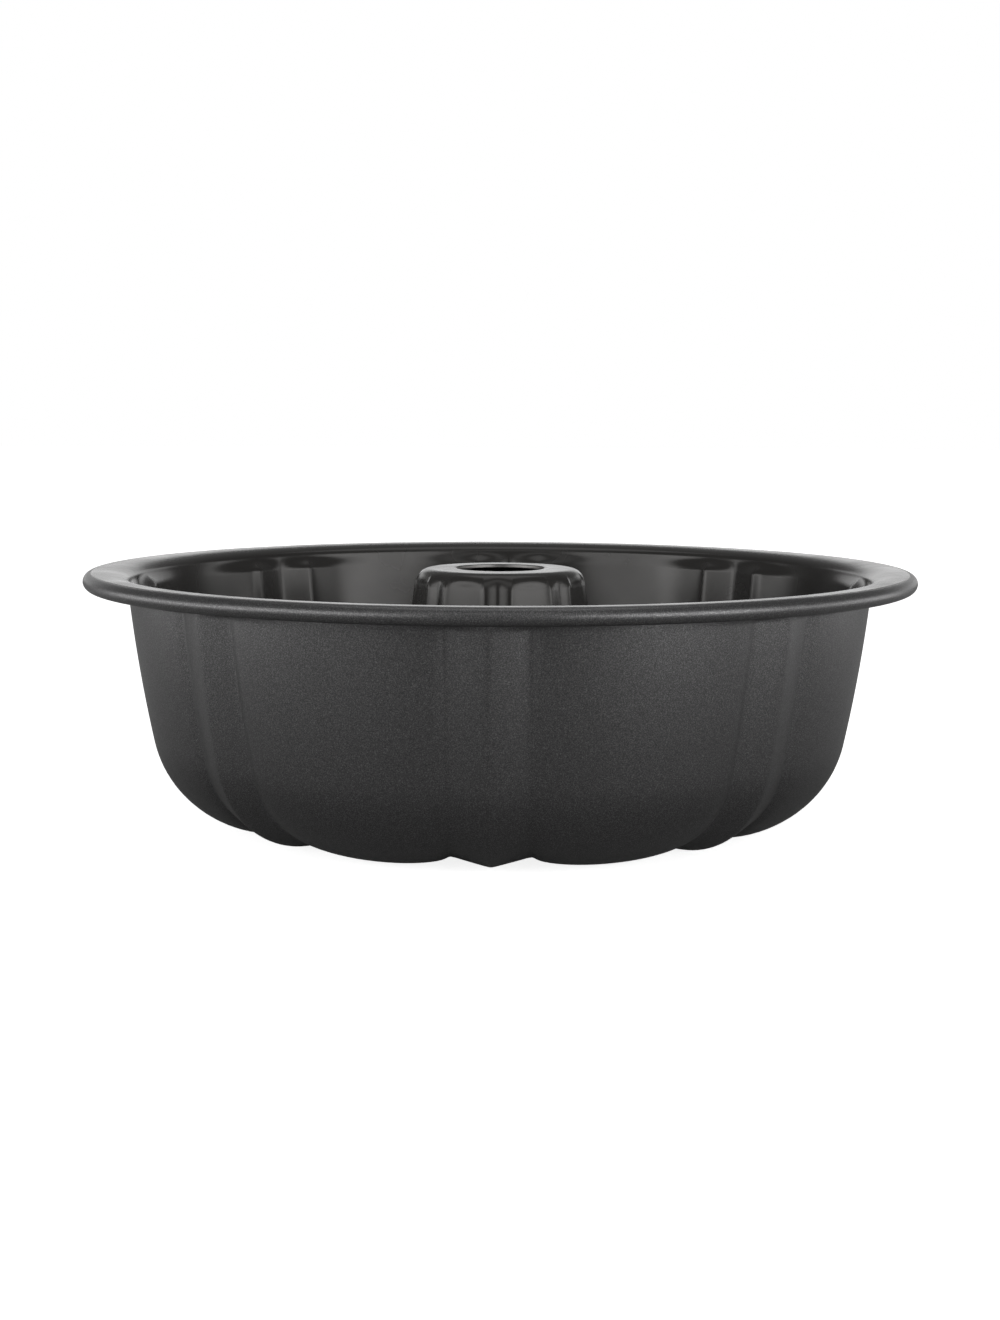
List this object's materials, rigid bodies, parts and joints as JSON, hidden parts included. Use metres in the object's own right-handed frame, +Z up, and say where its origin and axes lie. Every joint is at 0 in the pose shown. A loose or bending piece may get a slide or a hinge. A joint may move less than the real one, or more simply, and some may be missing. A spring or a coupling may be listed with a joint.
{
  "type": "bundt pan",
  "caption": "Fluted ring-shaped cake pan of coated pressed steel, with a hollow centre tube and a rim rolled round a wire.",
  "frame": {"origin": "on the table plane, below the centre of the tube", "axes": "+Z up along the tube's axis; one narrow rib faces -Y"},
  "size_m": [0.25, 0.25, 0.0754],
  "materials": {
    "steel_sheet": "satin",
    "steel_wire": "satin",
    "release_coat": "gloss",
    "outer_coat": "satin"
  },
  "bodies": {
    "root": {"pan_body": "steel_sheet", "centre_tube": "steel_sheet", "rim_wire": "steel_wire", "body_release_coat": "release_coat", "body_outer_coat": "outer_coat", "tube_release_coat": "release_coat", "tube_outer_coat": "outer_coat"}
  },
  "joints": []
}
